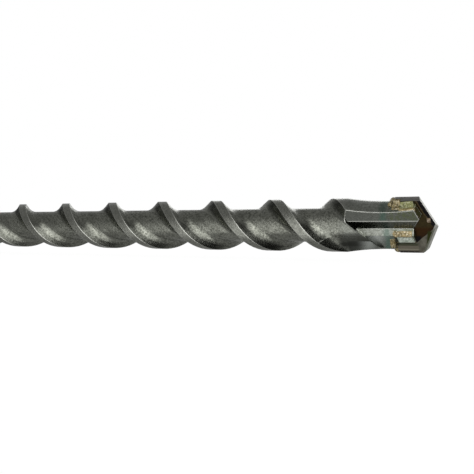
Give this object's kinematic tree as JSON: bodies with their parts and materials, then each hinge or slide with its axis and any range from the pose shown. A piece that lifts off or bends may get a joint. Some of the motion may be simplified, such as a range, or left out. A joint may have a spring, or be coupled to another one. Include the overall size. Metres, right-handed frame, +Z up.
{
  "type": "hammer drill bit",
  "caption": "Steel hammer drill bit with a slotted 18 mm shank, twin right-hand flutes and a brazed roof-shaped carbide plate.",
  "frame": {"origin": "centre of the strike face at the shank's end", "axes": "+X along the bit to the carbide point, +Z up; seen from -Y with the point on the right, the bit lies as in the picture"},
  "size_m": [0.34, 0.018, 0.018],
  "materials": {
    "shank_steel": "dark, turned",
    "flute_steel": "dark, blasted",
    "carbide": "ground carbide",
    "braze": "as brazed"
  },
  "bodies": {
    "root": {"shank": "shank_steel", "flute_body": "flute_steel", "cutter_plate": "carbide", "braze_foil": "braze", "braze_beads": "braze"}
  },
  "joints": []
}
